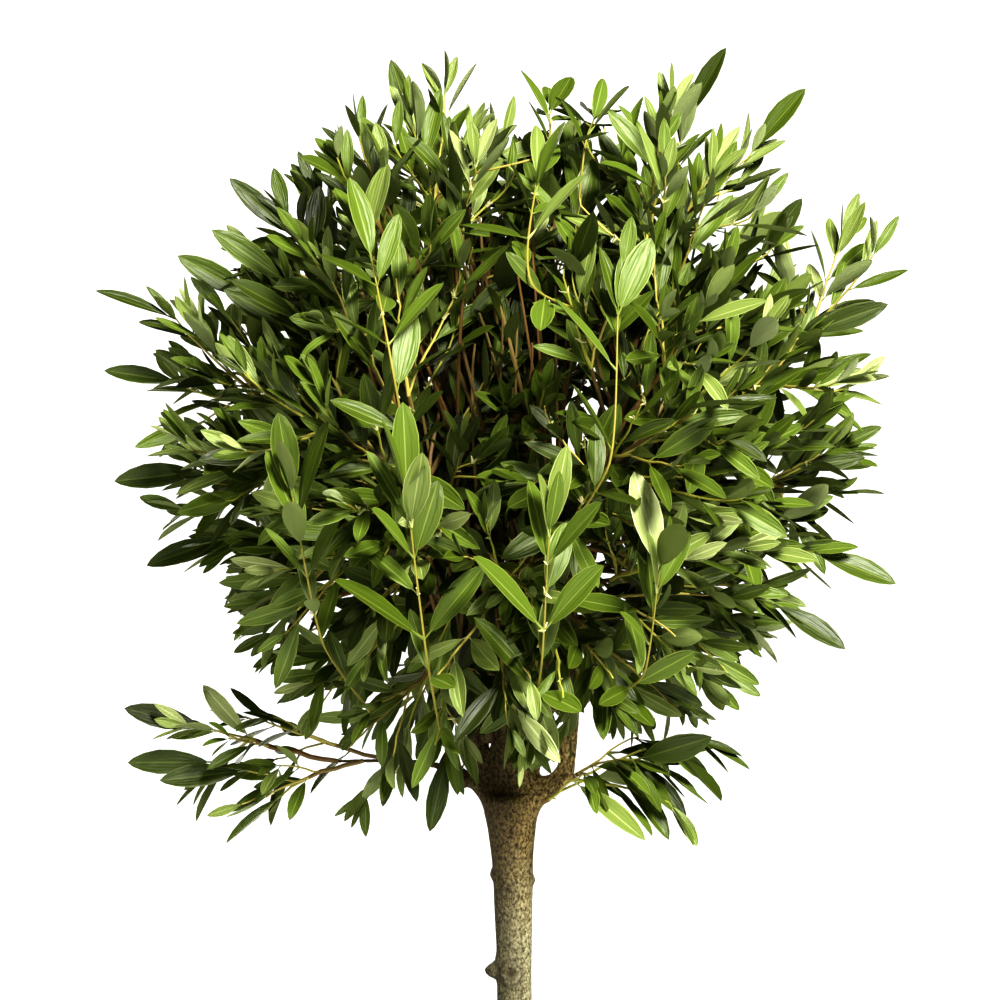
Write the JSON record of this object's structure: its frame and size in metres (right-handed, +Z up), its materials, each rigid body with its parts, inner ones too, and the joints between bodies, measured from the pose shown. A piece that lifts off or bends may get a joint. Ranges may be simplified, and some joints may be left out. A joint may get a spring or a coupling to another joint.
{
  "type": "olive tree",
  "caption": "Young olive tree grown as a standard: a slim clear stem with a root flare, a fork of boughs and a round leafy crown.",
  "frame": {"origin": "the middle of the flat cut under the stem, at ground level", "axes": "+Z straight up the stem; -Y is the side seen in the picture, +X is to its right"},
  "size_m": [0.582, 0.5195, 1.111],
  "materials": {
    "stem_bark": "young olive bark: matt, finely mottled, grey-green to brown, with knots",
    "bough_bark": "brown young olive wood, matt with fine ridges",
    "twig_bark": "yellow-green young shoots, smooth and slightly waxy",
    "foliage": "leathery olive leaves, mid to dark green and slightly glossy above, pale grey-green below"
  },
  "bodies": {
    "root": {"trunk": "stem_bark", "bough_centre_left": "bough_bark", "bough_centre_right": "bough_bark", "bough_right": "bough_bark", "bough_left": "bough_bark", "bough_back_right": "bough_bark", "bough_back_left": "bough_bark", "bough_low_left": "bough_bark", "bough_low_right": "bough_bark", "bough_top_back": "bough_bark", "bough_front_left": "bough_bark", "bough_front_right": "bough_bark", "bough_low_front_left": "bough_bark", "bough_low_front_right": "bough_bark", "bough_low_back_right": "bough_bark", "bough_low_back_left": "bough_bark", "foliage_top_left": "foliage", "foliage_top_right": "foliage", "foliage_top_back": "foliage", "foliage_left": "foliage", "foliage_front_left": "foliage", "foliage_front_right": "foliage", "foliage_right": "foliage", "foliage_back_right": "foliage", "foliage_back_left": "foliage", "foliage_low_front_left": "foliage", "foliage_low_front_right": "foliage", "foliage_low_back_right": "foliage", "foliage_low_back_left": "foliage", "foliage_low_left_spray": "foliage", "foliage_low_right_droop": "foliage"}
  },
  "joints": []
}
